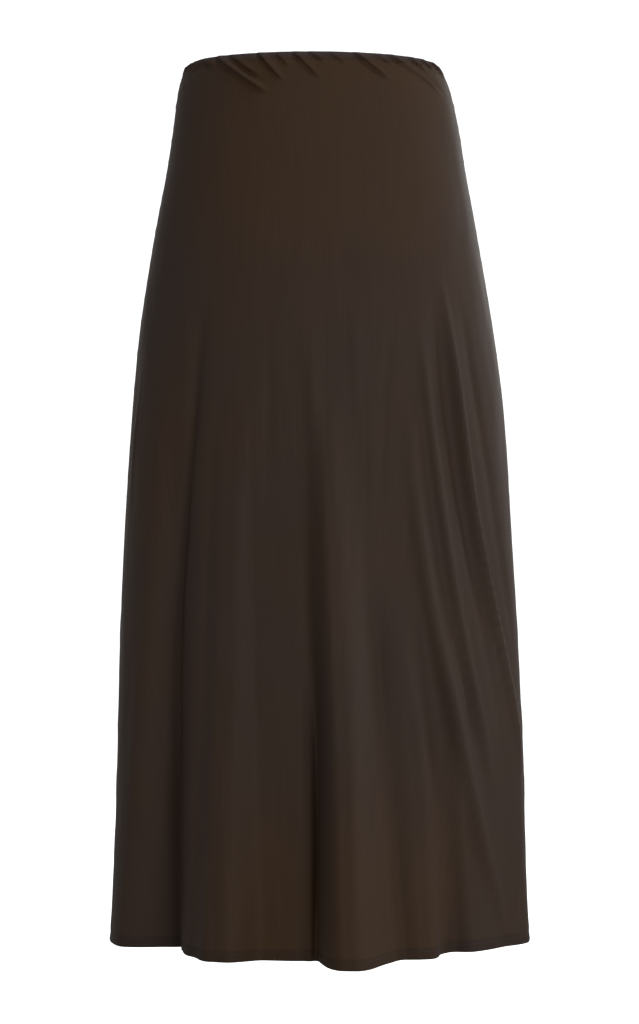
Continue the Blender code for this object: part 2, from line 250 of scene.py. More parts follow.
GATHER_FADE = 0.4  # share of its length over which it dies away at its end
GATHER_AT_EDGE = 0.4  # share of its depth at the casing's top edge
EDGE_REACH = 4  # how far below that edge it is whole
WAIST_MM_PER_DEGREE = 2.05
QUIET_EDGE = 10  # degrees beside each side seam where folds and gathers die away

# Crinkles between the gathers: how far apart they are, how high, and how far down they reach.
Crinkle = namedtuple("Crinkle", "spacing height reach")
CRINKLES = (Crinkle(4.6, 0.22, 4), Crinkle(6.7, 0.34, 6), Crinkle(9.7, 0.34, 10), Crinkle(17.1, 0.30, 20))
CRINKLE_SLANT = 0.9  # millimetres across for each millimetre down
CRINKLE_UNEVEN = 0.4  # share of a crinkle's height that comes and goes
CRINKLE_UNEVEN_LENGTH = 4.3  # over so many of its spacings, for each radian
CRINKLE_WANDER = 1.1  # radians by which it strays from its even spacing
CRINKLE_WANDER_LENGTH = 17
CRINKLE_MIDDLE = 0.12  # share of its height that it keeps at the middle of a panel
CRINKLE_SIDE_FROM, CRINKLE_SIDE_TO = 35, 65  # angles between which it grows to its full height
CRINKLE_SEED = 5

# The unevenness of cloth that no one has pressed: waves across the panel that sway as they fall.
Wave = namedtuple("Wave", "width fall height")
WAVES = (Wave(34, 150, 0.112), Wave(57, 210, 0.175), Wave(23, 90, 0.056), Wave(91, 160, 0.21))
WAVE_SWAY = 1.4  # radians by which a wave strays to each side
WAVES_FROM, WAVES_TO = 40, 160  # drops between which they grow
WAVE_SEED = 15

# The side seams lie deeper than the cloth, and pucker it on both sides.
SEAM_DEPTH = 0.5
SEAM_WIDTH = 1.7
PUCKER_HEIGHT = 0.22
PUCKER_AWAY = 5  # how far from the seam the puckers are highest
PUCKER_WIDTH = 3.5
PUCKER_LENGTHS = (11, 17.3)  # two waves that run down the seam together

# The panel comes up inside the casing: drops below the casing's bottom edge, and how far inside.
TUCK = ((-2.0, 1.1), (-0.6, 1.05), (-0.4, 0.5), (-0.2, 0.12), (0.5, 0.0))
# The hem's stitches pull the cloth in, and the band below them lies a little deeper than the cloth above.
STITCH_ROWS = (-5, -3, -1.8, -0.9, 0, 0.9, 1.8, 3)
STITCH_DIP = 0.35
STITCH_DIP_WIDTH = 1.3
BAND_INSIDE = 0.15
# How far inside the outer surface the thread is, and how far it lies proud of that
HEM_THREAD_INSIDE, CASING_THREAD_INSIDE = 0.25, 0.1
THREAD_PROUD = 0.08
CASING_STITCHES_UP = 0.9  # how far the casing's stitches are above its bottom edge
SEAM_ROOM = 4  # between the last stitch and the side seam

# Painted warm light: the cloth is drawn warmer in colour in the middle near its top and near its foot. In
# metres: the heights between which this grows at the top and at the foot of the skirt, and the distances from
# a line right of the middle between which it fades.
WARM_TOP = (-0.30, -0.03)
WARM_FOOT = (-0.62, -0.82)
WARM_LINE = 0.02
WARM_FADE = (0.16, 0.06)

# Soft boxes. Azimuth is 0 in front of the skirt and grows towards +X, and aim is the height on the skirt's
# axis that a box looks at. Angles are degrees, and lengths are metres.
Light = namedtuple("Light", "name azimuth elevation distance width height aim watts")
LIGHTS = (
    Light("key_right_front", 20, 3, 3.5, 1.5, 1.5, -0.45, 26.4),
    Light("key_right", 35, 3, 3.5, 1.5, 1.5, -0.45, 8.2),
    Light("fill_left_front", -45, 15, 3.5, 1.5, 1.5, -0.45, 9.3),
    Light("side_right", 100, 10, 1.8, 0.5, 0.8, -0.15, 7.0),
    Light("side_right_low", 72, 0, 1.8, 0.5, 0.8, -0.65, 2.6),
    Light("rim_right", 145, 10, 1.8, 0.5, 0.8, -0.15, 6.6),
    Light("rim_left", -100, 0, 1.8, 0.5, 0.8, -0.6, 0.8),
    Light("fill_left_back", -150, 8, 3.5, 1.5, 1.5, -0.45, 7.5),
    Light("top_waist", 30, 72, 1.1, 0.4, 0.4, 0.0, 2.4),
    Light("fill_back", 180, 15, 3.5, 1.5, 1.5, -0.45, 18.0),
)


class SkirtCloth(bpy.types.PropertyGroup):
    wall: FloatProperty(
        name="Cloth",
        description="Thickness of the jersey",
        default=0.8 * MM,
        min=0.3 * MM,
        max=2 * MM,
        unit="LENGTH",
    )
    hem_radius: FloatProperty(
        name="Hem fold",
        description="Outer radius of the fold at the hem's edge",
        default=1.2 * MM,
        min=0.9 * MM,
        max=2 * MM,
        unit="LENGTH",
    )
    jersey: StringProperty(
        name="Jersey", description="Colour of the knit, as an sRGB hex value", default="3D2D24"
    )
    # The warm colour is used for random warm patches of the knit, and for painted warm light in the middle
    # near the top and the foot.
    jersey_warm: StringProperty(
        name="Jersey, warm", description="Colour where the cloth is stretched thin", default="432C13"
    )
    # Painted sheen: the greyer colour drawn on the casing's rounded top for the light it catches.
    casing_top_sheen: StringProperty(
        name="Jersey, edge", description="Colour of the waist's greyer top edge", default="453A3B"
    )
    thread: StringProperty(name="Thread", description="Colour of the sewing thread", default="40352F")
    # Painted shade: the darker colour drawn in the grooves between the thread's strands.
    thread_groove_shade: StringProperty(
        name="Thread, dark", description="Colour between the thread's strands", default="2E2622"
    )
    wale: FloatProperty(
        name="Wale spacing",
        description="Distance between the knit's upright ribs",
        default=1.4 * MM,
        min=0.4 * MM,
        max=4 * MM,
        unit="LENGTH",
    )


class SkirtSewing(bpy.types.PropertyGroup):
    stitch: FloatProperty(
        name="Stitch", description="Length of one stitch", default=2.2 * MM, unit="LENGTH"
    )
    pitch: FloatProperty(
        name="Pitch", description="Distance from one stitch to the next", default=3.0 * MM, unit="LENGTH"
    )
    thread_radius: FloatProperty(
        name="Thread", description="Radius of the sewing thread", default=0.22 * MM, unit="LENGTH"
    )


class SkirtStudio(bpy.types.PropertyGroup):
    floor_height: FloatProperty(
        name="Floor", description="Height of the floor under the waist", default=-1.04, unit="LENGTH"
    )
    sky: FloatProperty(
        name="Room light", description="Strength of the light from all round", default=0.18, min=0
    )
    brightness: FloatProperty(name="Lamps", description="Share of each lamp's power", default=1.0, min=0)
    camera: FloatVectorProperty(
        name="Camera",
        description="Place of the camera",
        default=(0.0074, -2.8, -0.4328),
        subtype="TRANSLATION",
    )
    lens: FloatProperty(name="Lens", description="Focal length", default=100.4, unit="CAMERA")


# ---------------------------------------------------------------- the worn shape


def ease(share):
    """A smooth step from 0 to 1."""
    share = np.clip(share, 0, 1)
    return share * share * (3 - 2 * share)


def bell(offset):
    """A smooth bump, 1 at 0 and near 0 past 2."""
    return np.exp(-offset * offset)


def read_table(table, drop):
    """The columns of a table at the given drops, read smoothly, in the last axis. The first is the drop."""
    rows = np.array(table, dtype=float)
    knots = rows[:, 0]
    last = len(rows) - 1
    drop = np.clip(drop, knots[0], knots[-1])
    low = np.clip(np.searchsorted(knots, drop, side="right") - 1, 0, last - 1)
    high, before, after = low + 1, np.maximum(low - 1, 0), np.minimum(low + 2, last)
    step = knots[high] - knots[low]
    s = ((drop - knots[low]) / step)[..., None]
    slope_low = (rows[high] - rows[before]) * (step / (knots[high] - knots[before]))[..., None]
    slope_high = (rows[after] - rows[low]) * (step / (knots[after] - knots[low]))[..., None]
    return (
        rows[low] * (2 * s**3 - 3 * s**2 + 1)
        + slope_low * (s**3 - 2 * s**2 + s)
        + rows[high] * (3 * s**2 - 2 * s**3)
        + slope_high * (s**3 - s**2)
    )


def smooth_cut(panel, angle, cut):
    """Points of level cuts at angles, before folds and gathers."""
    _, left, right, front, back, n = np.moveaxis(cut, -1, 0)
    across, along = np.sin(np.radians(angle)), np.cos(np.radians(angle))
    swell = (np.abs(across) ** n + np.abs(along) ** n) ** (-1 / n)
    reach = -front if panel == "front" else back
    sideways = (right - left) / 2 + (right + left) / 2 * swell * across
    return np.stack([sideways, reach * swell * along], axis=-1)


def fold_height(panel, angle, drop):
    """How far the folds lift the cloth off its smooth shape."""
    height = np.zeros_like(angle)
    for fold in FOLDS:
        if fold.panel != panel:
            continue
        share = np.maximum(drop - fold.start, 0) / (HEM - fold.start)
        linear, curved = 4 * fold.mid_rise - fold.hem_rise, 2 * fold.hem_rise - 4 * fold.mid_rise
        rise = share * (linear + curved * share) * ease(share / FOLD_ONSET)
        offset = angle - fold.start_at - (fold.hem_at - fold.start_at) * share**fold.lean
        offset = offset / (FOLD_TOP_WIDTH + (1 - FOLD_TOP_WIDTH) * share)
        run = np.where(offset < 0, fold.left_run, fold.right_run)
        height += rise * ease(1 - np.maximum(np.abs(offset) - fold.top / 2, 0) / run)
    return height


def crease_height(panel, angle, drop, degree):
    """How far the fine soft creases lift the cloth; degree is the length of one degree."""
    height = np.zeros_like(angle)
    for crease in CREASES:
        if crease.panel == panel:
            at, rise = np.moveaxis(read_table(crease.path, drop)[..., 1:], -1, 0)
            height += rise * bell((angle - at) * degree / crease.width)
    return height


def gather_height(panel, angle, drop):
    """How far the gathers lift the cloth."""
    height = np.zeros_like(angle)
    for gather in GATHERS:
        if gather.panel != panel:
            continue
        x = (angle - gather.start_at) * WAIST_MM_PER_DEGREE
        y = drop - gather.start
        run_x = (gather.end_at - gather.start_at) * WAIST_MM_PER_DEGREE
        run_y = gather.end - gather.start
        length = np.hypot(run_x, run_y)
        along = (x * run_x + y * run_y) / length**2
        aside = (x * run_y - y * run_x) / length
        width = gather.width * (GROOVE_START + (GROOVE_END - GROOVE_START) * np.clip(along, 0, 1))
        fade = ease((1 - along) / GATHER_FADE) * ease(1 + along / GATHER_LEAD)
        roll = gather.roll * bell((aside - ROLL_AWAY * width) / (ROLL_WIDTH * width))
        height += gather.depth * fade * (roll - bell(aside / width))
    return height * (GATHER_AT_EDGE + (1 - GATHER_AT_EDGE) * ease((drop - CASING_TOP) / EDGE_REACH))


def crinkle_height(panel, angle, drop):
    """Small crinkles under and in the casing, stronger towards the sides."""
    chance = np.random.default_rng(CRINKLE_SEED + SIDES.index(panel))
    below = np.maximum(drop - CASING_BOTTOM, 0)
    across = angle * WAIST_MM_PER_DEGREE - CRINKLE_SLANT * below
    height = np.zeros_like(angle)
    for crinkle in CRINKLES:
        turn, slow, drift = chance.uniform(0, 2 * np.pi, 3)
        swing = np.sin(across / (CRINKLE_UNEVEN_LENGTH * crinkle.spacing) + slow)
        uneven = 1 - CRINKLE_UNEVEN + CRINKLE_UNEVEN * swing
        wander = CRINKLE_WANDER * np.sin(across / CRINKLE_WANDER_LENGTH + drift)
        wave = np.sin(2 * np.pi * across / crinkle.spacing + turn + wander)
        height += crinkle.height * uneven * wave * bell(below / crinkle.reach)
    aside = ease((np.abs(angle) - CRINKLE_SIDE_FROM) / (CRINKLE_SIDE_TO - CRINKLE_SIDE_FROM))
    return height * (CRINKLE_MIDDLE + (1 - CRINKLE_MIDDLE) * aside)


def uneven_height(panel, angle, drop, degree):
    """The slight unevenness of cloth that no one has pressed."""
    chance = np.random.default_rng(WAVE_SEED + SIDES.index(panel))
    across = angle * degree
    height = np.zeros_like(angle)
    for wave in WAVES:
        turn, lean = chance.uniform(0, 2 * np.pi, 2)
        sway = WAVE_SWAY * np.sin(2 * np.pi * drop / wave.fall + lean)
        height += wave.height * np.sin(2 * np.pi * across / wave.width + turn + sway)
    return height * ease((drop - WAVES_FROM) / (WAVES_TO - WAVES_FROM))


def seam_height(angle, drop, degree):
    """How far the side seams sink, and how far they lift the cloth beside them in puckers."""
    edge = (SEAM_ANGLE - np.abs(angle)) * degree
    short, long = PUCKER_LENGTHS
    pucker = np.sin(2 * np.pi * drop / short) + np.sin(2 * np.pi * drop / long + 1)
    pucker *= PUCKER_HEIGHT * bell((edge - PUCKER_AWAY) / PUCKER_WIDTH)
    return pucker - SEAM_DEPTH * bell(edge / SEAM_WIDTH)


def relief(panel, angle, drop):
    """How far the cloth stands off its smooth shape."""
    cut = read_table(SECTIONS, drop)
    wide, deep = (cut[..., 1] + cut[..., 2]) / 2, (cut[..., 3] + cut[..., 4]) / 2
    degree = np.radians(1) * np.sqrt((wide**2 + deep**2) / 2)
    height = fold_height(panel, angle, drop) + crease_height(panel, angle, drop, degree)
    height += gather_height(panel, angle, drop) + crinkle_height(panel, angle, drop)
    height += uneven_height(panel, angle, drop, degree)
    quiet = ease((SEAM_ANGLE - np.abs(angle)) / QUIET_EDGE)
    return height * quiet + seam_height(angle, drop, degree)


def outline(panel, angle, drop):
    """Points on the outside of the cloth, seen from above."""
    cut = read_table(SECTIONS, drop)
    ahead = smooth_cut(panel, angle + 0.5, cut) - smooth_cut(panel, angle - 0.5, cut)
    outward = np.stack([ahead[..., 1], -ahead[..., 0]], axis=-1) * OUTWARD[panel]
    outward /= np.linalg.norm(outward, axis=-1, keepdims=True)
    point = smooth_cut(panel, angle, cut) + outward * relief(panel, angle, drop)[..., None]
    point[..., 1] += OUTWARD[panel] * SEAM_OVERLAP / 2
    return point


def even_angles(panel, drop, columns):
    """Angles that part a level cut into columns of equal cloth, so that deep folds get more of them."""
    fine = np.linspace(-SEAM_ANGLE, SEAM_ANGLE, MEASURING_COLUMNS + 1)
    points = outline(panel, fine, np.full_like(fine, drop))
    walked = np.concatenate([[0], np.cumsum(np.linalg.norm(np.diff(points, axis=0), axis=1))])
    return np.interp(np.linspace(0, walked[-1], columns + 1), walked, fine)


def facing(points, panel):
    """The outward way of level rows of points."""
    along = np.gradient(points, axis=1)
    outward = np.stack([along[..., 1], -along[..., 0]], axis=-1) * OUTWARD[panel]
    return outward / np.linalg.norm(outward, axis=-1, keepdims=True)


def lay_cloth(panel, path, columns):
    """Places, cloth coordinates and outward ways of a sheet's grid. Each row of the path is a drop, and how
    far inside the outer surface the row lies."""
    drops, inside = np.array(path).T
    lean = ease(drops / FOLDS_BEGIN)[:, None]
    angle = (1 - lean) * even_angles(panel, PANEL_TOP, columns) + lean * even_angles(panel, HEM, columns)
    dip = SIDE_DIP * ease((np.abs(angle) - SIDE_DIP_FROM) / (SEAM_ANGLE - SIDE_DIP_FROM))
    casing_share = np.clip((CASING_BOTTOM - drops) / (CASING_BOTTOM - CASING_TOP), 0, 1)
    drop = drops[:, None] + dip * casing_share[:, None]
    points = outline(panel, angle, drop)
    outward = facing(points, panel)
    upright = drops < UPRIGHT_END
    outward[upright] = facing(smooth_cut(panel, angle, read_table(SECTIONS, drop)), panel)[upright]
    points = points - outward * inside[:, None, None]
    places = np.concatenate([points, -drop[..., None]], axis=-1)
    across = np.zeros_like(angle)
    across[:, 1:] = np.cumsum(np.linalg.norm(np.diff(points, axis=1), axis=-1), axis=1)
    across -= across[:, [columns // 2]]
    steps = np.hypot(np.diff(drops), np.diff(inside))
    down = np.concatenate([[0], np.cumsum(steps)])[:, None] + drops[0]
    down = np.broadcast_to(down, angle.shape)
    return places * MM, np.stack([across, down], axis=-1) * MM, outward


def cut_sheet(name, panel, path, columns, wall, material, even=True):
    """A sheet of cloth laid over the worn shape, with its wall and its cloth coordinates in metres. An even
    wall is as thick round sharp bends as elsewhere, which sharp crinkles can't take."""
    rows = len(path) - 1
    places, cloth_places, outward = lay_cloth(panel, path, columns)
    bm = bmesh.new()
    bmesh.ops.create_grid(bm, x_segments=columns, y_segments=rows, size=1)
    cells = [
        (round((1 - vert.co.y) / 2 * rows), round((vert.co.x + 1) / 2 * columns)) for vert in bm.verts
    ]
    for vert, cell in zip(bm.verts, cells):
        vert.co = places[cell]
    cloth_map = bm.loops.layers.uv.new("cloth_metres")
    for face in bm.faces:
        for loop in face.loops:
            loop[cloth_map].uv = cloth_places[cells[loop.vert.index]]
    bmesh.ops.recalc_face_normals(bm, faces=bm.faces[:])
    # Only the rows on the outer surface say which way is out.
    outer = [(vert.normal, outward[cell]) for vert, cell in zip(bm.verts, cells) if path[cell[0]][1] < 0.01]
    if sum(normal.x * way[0] + normal.y * way[1] for normal, way in outer) < 0:
        bmesh.ops.reverse_faces(bm, faces=bm.faces[:])
    piece = finish_mesh(name, bm, material)
    solidify = piece.modifiers.new("wall", "SOLIDIFY")
    solidify.thickness = wall
    solidify.offset = -1
    solidify.use_even_offset = even
    solidify.use_quality_normals = True
    return piece


def finish_mesh(name, bm, material):
    """An object of a bmesh, smooth and with its material."""
    mesh = bpy.data.meshes.new(name)
    bm.to_mesh(mesh)
    bm.free()
    mesh.shade_smooth()
    mesh.materials.append(material)
    piece = bpy.data.objects.new(name, mesh)
    bpy.context.scene.collection.objects.link(piece)
    return piece


def evenly(start, end, steps):
    """Drops in even steps, without the last one."""
    return [start + (end - start) * i / steps for i in range(steps)]


def growing(start, end, first, last):
    """Drops from start to end in steps that grow from about first to about last."""
    steps = round(2 * (end - start) / (first + last))
    shares = np.arange(steps) / steps
    grown = shares * first + shares**2 * (last - first) / 2
    return [start + (end - start) * share / (first + (last - first) / 2) for share in grown]


# ---------------------------------------------------------------- materials


def linear(hex_colour):
    """An sRGB hex colour as linear red, green, blue and alpha."""
    shares = [int(hex_colour[i : i + 2], 16) / 255 for i in (0, 2, 4)]
    return (*(s / 12.92 if s <= 0.04045 else ((s + 0.055) / 1.055) ** 2.4 for s in shares), 1.0)


def add_node(material, kind, inputs=None, **settings):
    """A node with its settings. Each input is a value or another node's output."""
    made = material.node_tree.nodes.new("ShaderNode" + kind)
    for name, value in settings.items():
        setattr(made, name, value)
    for socket, value in (inputs or {}).items():
        if isinstance(value, bpy.types.NodeSocket):
            material.node_tree.links.new(value, made.inputs[socket])
        else:
            made.inputs[socket].default_value = value
    return made


def new_material(name):
    """An empty material and its output node."""
    material = bpy.data.materials.new(name)
    material.use_nodes = True
    material.node_tree.nodes.clear()
    return material, add_node(material, "OutputMaterial")


def viscose_jersey():
    """Fine single jersey of dyed viscose. Its face is matt with a faint silky sheen at grazing angles. Fine
    upright wales and uneven yarn give it a soft vertical grain, and it is painted warmer in the middle near
    the top and near the foot, a painted warm light."""
    cloth = bpy.context.scene.skirt_cloth
    material, output = new_material("viscose_jersey")
    metres = add_node(material, "UVMap", uv_map="cloth_metres").outputs["UV"]
    parts = add_node(material, "SeparateXYZ", {"Vector": metres})
    place = add_node(material, "TexCoord").outputs["Object"]

    # Real wales are 0.7 mm apart, finer than a pixel of the picture, so they are drawn twice as wide.
    wale_turn = add_node(
        material, "Math", {0: parts.outputs["X"], 1: 2 * np.pi / cloth.wale}, operation="MULTIPLY"
    )
    wale = add_node(material, "Math", {0: wale_turn.outputs[0]}, operation="SINE").outputs[0]
    # Courses, the knit's rows, are nearer together than its wales and shallower.
    course_turn = add_node(
        material, "Math", {0: parts.outputs["Y"], 1: 2 * np.pi / (0.75 * cloth.wale)}, operation="MULTIPLY"
    )
    course = add_node(material, "Math", {0: course_turn.outputs[0]}, operation="SINE").outputs[0]
    knit = add_node(material, "Math", {0: course, 1: 0.35, 2: wale}, operation="MULTIPLY_ADD").outputs[0]

    # Thick and thin yarn: 330 and 12 to the metre are streaks 3 mm wide and some 80 mm long.
    streak_scale = add_node(material, "Mapping", {"Vector": metres, "Scale": (330, 12, 1)}).outputs[0]
    streak = add_node(
        material, "TexNoise", {"Vector": streak_scale, "Scale": 1.0, "Detail": 2.0, "Roughness": 0.5}
    ).outputs["Fac"]
    # Slack and stretched areas as wide as a hand: 9 to the metre.
    patch = add_node(
        material, "TexNoise", {"Vector": place, "Scale": 9.0, "Detail": 2.0, "Roughness": 0.5}
    ).outputs["Fac"]

    # Painted warm light: the cloth is drawn warmer at the middle under the waist, and again at the middle
    # near the hem.
    spot = add_node(material, "SeparateXYZ", {"Vector": place})
    high = add_node(
        material,
        "MapRange",
        {"Value": spot.outputs["Z"], "From Min": WARM_TOP[0], "From Max": WARM_TOP[1]},
        interpolation_type="SMOOTHSTEP",
    ).outputs[0]
    low = add_node(
        material,
        "MapRange",
        {"Value": spot.outputs["Z"], "From Min": WARM_FOOT[0], "From Max": WARM_FOOT[1]},
        interpolation_type="SMOOTHSTEP",
    ).outputs[0]
    ends = add_node(material, "Math", {0: high, 1: low}, operation="MAXIMUM").outputs[0]
    across = add_node(
        material, "Math", {0: spot.outputs["X"], 1: WARM_LINE}, operation="SUBTRACT"
    ).outputs[0]
    aside = add_node(material, "Math", {0: across}, operation="ABSOLUTE").outputs[0]
    middle = add_node(
        material,
        "MapRange",
        {"Value": aside, "From Min": WARM_FADE[0], "From Max": WARM_FADE[1]},
        interpolation_type="SMOOTHSTEP",
    ).outputs[0]
    painted_warm_light = add_node(material, "Math", {0: ends, 1: middle}, operation="MULTIPLY").outputs[0]
    # The share of the warm colour: in patches everywhere, and more in the painted warm light at the middle.
    warmth = add_node(material, "Math", {0: patch, 1: 0.9, 2: -0.25}, operation="MULTIPLY_ADD").outputs[0]
    warmth = add_node(
        material, "Math", {0: painted_warm_light, 1: 0.75, 2: warmth}, operation="MULTIPLY_ADD", use_clamp=True
    ).outputs[0]
    tone = add_node(
        material,
        "Mix",
        {0: warmth, 6: linear(cloth.jersey), 7: linear(cloth.jersey_warm)},
        data_type="RGBA",
    ).outputs[2]
    depth = add_node(
        material,
        "MapRange",
        {"Value": streak, "From Min": 0.25, "From Max": 0.75, "To Min": 0.93, "To Max": 1.07},
    ).outputs[0]
    # The turned-up hem is double, lets less light through and looks a shade darker.
    double = add_node(
        material,
        "MapRange",
        {
            "Value": parts.outputs["Y"],
            "From Min": (HEM - TURN_UP - 0.7) * MM,
            "From Max": (HEM - TURN_UP + 0.7) * MM,
            "To Min": 1.0,
            "To Max": 0.74,
        },
    ).outputs[0]
    depth = add_node(material, "Math", {0: depth, 1: double}, operation="MULTIPLY").outputs[0]
    colour = add_node(material, "HueSaturation", {"Value": depth, "Color": tone}).outputs[0]

    fine_bump = add_node(
        material, "Bump", {"Height": knit, "Strength": 0.10, "Distance": 0.15 * MM}
    ).outputs[0]
    bump = add_node(
        material, "Bump", {"Height": streak, "Strength": 0.25, "Distance": 0.4 * MM, "Normal": fine_bump}
    ).outputs[0]
    shader = add_node(
        material,
        "BsdfPrincipled",
        {
            "Base Color": colour,
            "Roughness": 0.7,
            "IOR": 1.5,
            "Specular IOR Level": 0.35,
            "Sheen Weight": 0.045,
            "Sheen Roughness": 0.4,
            "Normal": bump,
        },
    )
    material.node_tree.links.new(shader.outputs[0], output.inputs["Surface"])
    return material


def gathered_casing():
    """The same jersey drawn tight in a tunnel round elastic. Pulled in, it is denser and more matt, and its
    top edge is painted greyer: a painted sheen for the light that its rounded top catches."""
    cloth = bpy.context.scene.skirt_cloth
    material, output = new_material("gathered_jersey_casing")
    metres = add_node(material, "UVMap", uv_map="cloth_metres").outputs["UV"]
    # Tiny ridges of the drawn-in knit, 1.4 mm wide and 17 mm long.
    ridge_scale = add_node(material, "Mapping", {"Vector": metres, "Scale": (700, 60, 1)}).outputs[0]
    ridge = add_node(
        material, "TexNoise", {"Vector": ridge_scale, "Scale": 1.0, "Detail": 2.0, "Roughness": 0.6}
    ).outputs["Fac"]
    tone = add_node(
        material,
        "Mix",
        {0: ridge, 6: linear(cloth.jersey), 7: linear(cloth.jersey_warm)},
        data_type="RGBA",
    ).outputs[2]
    place = add_node(material, "TexCoord").outputs["Object"]
    spot = add_node(material, "SeparateXYZ", {"Vector": place})
    # Painted sheen: towards its top the casing is drawn in the greyer colour, standing in for light caught
    # from above.
    edge = add_node(
        material,
        "MapRange",
        {"Value": spot.outputs["Z"], "From Min": -2.0 * MM, "From Max": 2.5 * MM, "To Max": 0.85},
        interpolation_type="SMOOTHSTEP",
    ).outputs[0]
    colour = add_node(
        material, "Mix", {0: edge, 6: tone, 7: linear(cloth.casing_top_sheen)}, data_type="RGBA"
    ).outputs[2]
    bump = add_node(material, "Bump", {"Height": ridge, "Strength": 0.4, "Distance": 0.4 * MM}).outputs[0]
    shader = add_node(
        material,
        "BsdfPrincipled",
        {"Base Color": colour, "Roughness": 0.75, "IOR": 1.5, "Specular IOR Level": 0.35, "Normal": bump},
    )
    material.node_tree.links.new(shader.outputs[0], output.inputs["Surface"])
    return material


def polyester_thread():
    """Spun polyester sewing thread, dyed to match. It is a little smoother than the knit, so it catches more
    light. Its strands show as specks about a millimetre long, with painted shade between them."""
    cloth = bpy.context.scene.skirt_cloth
    material, output = new_material("polyester_thread")
    place = add_node(material, "TexCoord").outputs["Object"]
    twist = add_node(material, "TexNoise", {"Vector": place, "Scale": 900.0, "Detail": 1.0}).outputs["Fac"]
    # Painted shade between the strands: specks of the darker colour mixed in.
    colour = add_node(
        material,
        "Mix",
        {0: twist, 6: linear(cloth.thread_groove_shade), 7: linear(cloth.thread)},
        data_type="RGBA",
    ).outputs[2]
    shader = add_node(material, "BsdfPrincipled", {"Base Color": colour, "Roughness": 0.55, "IOR": 1.55})
    material.node_tree.links.new(shader.outputs[0], output.inputs["Surface"])
    return material


def white_board(name):
    """Matt white paint on a studio's curved wall, lit until it looks pure white in a picture."""
    material, output = new_material(name)
    place = add_node(material, "TexCoord").outputs["Object"]
    grain = add_node(material, "TexNoise", {"Vector": place, "Scale": 40.0, "Detail": 2.0}).outputs["Fac"]
    colour = add_node(
        material, "Mix", {0: grain, 6: linear("F2F2F1"), 7: linear("F8F8F7")}, data_type="RGBA"
    ).outputs[2]
    shader = add_node(
        material,
        "BsdfPrincipled",
        {
            "Base Color": colour,
            "Roughness": 0.9,
            "Emission Color": linear("FFFFFF"),
            "Emission Strength": 1.0,
        },
    )
    material.node_tree.links.new(shader.outputs[0], output.inputs["Surface"])
    return material


# ---------------------------------------------------------------- pieces


class SKIRT_OT_panels(bpy.types.Operator):
    """Cut the front and back of the skirt in jersey, with their hems turned up"""

    bl_idname = "skirt.panels"
    bl_label = "Front and back"

    def execute(self, context):
        cloth = context.scene.skirt_cloth
        jersey = viscose_jersey()
        path = panel_path(cloth.hem_radius / MM)
        for side in SIDES:
            piece = cut_sheet(f"{side}_cloth", side, path, PANEL_COLUMNS, cloth.wall, jersey)
            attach(piece, "root")
            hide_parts(f"{side}_panel", f"hem_turn_up_{side}")
        return {"FINISHED"}


def panel_path(radius):
    """The way down a panel, from inside the casing round the hem's edge and up again: rows of drop, and how
    far inside the outer surface the row lies."""
    tucked = [(CASING_BOTTOM + below, inside) for below, inside in TUCK]
    gathered = [(drop, 0.0) for drop in evenly(CASING_BOTTOM + 2, GATHERS_END, GATHERED_ROWS)]
    stitch_line = HEM - TURN_UP
    falling = [(drop, 0.0) for drop in growing(GATHERS_END, stitch_line - 5, FIRST_ROW, LAST_ROW)]
    dip = [(stitch_line + below, STITCH_DIP * bell(below / STITCH_DIP_WIDTH)) for below in STITCH_ROWS]
    band = [(drop, BAND_INSIDE) for drop in evenly(stitch_line + 5, HEM - radius, 4)]
    turns = np.linspace(0, np.pi, ROUND_EDGE_POINTS)
    edge = [(HEM - radius + radius * np.sin(t), BAND_INSIDE + radius * (1 - np.cos(t))) for t in turns]
    turned_up = BAND_INSIDE + 2 * radius
    inner = [(drop, turned_up) for drop in evenly(HEM - radius - 3, stitch_line - 1, 4)]
    return tucked + gathered + falling + dip + band + edge + inner + [(stitch_line - 1, turned_up)]


class SKIRT_OT_casing(bpy.types.Operator):
    """Fold the casing over the elastic at the waist"""

    bl_idname = "skirt.casing"
    bl_label = "Waist casing"

    def execute(self, context):
        cloth = context.scene.skirt_cloth
        tight = gathered_casing()
        path = casing_path()
        for side in SIDES:
            name = f"{side}_casing_cloth"
            piece = cut_sheet(name, side, path, CASING_COLUMNS, cloth.wall, tight, even=False)
            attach(piece, "root")
            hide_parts(f"waist_casing_{side}")
        return {"FINISHED"}


def casing_path():
    """The way up the inside of the casing, over its top and down its outside, as rows like a panel's."""
    radius = CASING_THICKNESS / 2
    top = CASING_TOP + radius
    turns = np.linspace(0, np.pi, ROUND_EDGE_POINTS)
    path = [(CASING_BOTTOM, CASING_THICKNESS)]
    path += [(drop, CASING_THICKNESS) for drop in evenly(CASING_BOTTOM - 1, top + 0.8, 3)]
    path += [(top - radius * np.sin(t), radius * (1 + np.cos(t))) for t in turns]
    path += [(drop, 0.0) for drop in evenly(top + 0.8, CASING_BOTTOM - 1.2, 6)]
    # Its lower edge turns in, under the panel's surface.
    return path + [(CASING_BOTTOM - 1.2, 0.0), (CASING_BOTTOM - 0.5, 0.02), (CASING_BOTTOM, 0.25)]


class SKIRT_OT_stitches(bpy.types.Operator):
    """Sew the hem and the casing"""

    bl_idname = "skirt.stitches"
    bl_label = "Stitches"

    def execute(self, context):
        thread = polyester_thread()
        rows = (
            ("hem", HEM - TURN_UP, HEM_THREAD_INSIDE),
            ("casing", CASING_BOTTOM - CASING_STITCHES_UP, CASING_THREAD_INSIDE),
        )
        for side in SIDES:
            for name, drop, inside in rows:
                piece = sew(f"{side}_{name}_stitches", side, drop, inside, thread)
                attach(piece, "root")
        return {"FINISHED"}


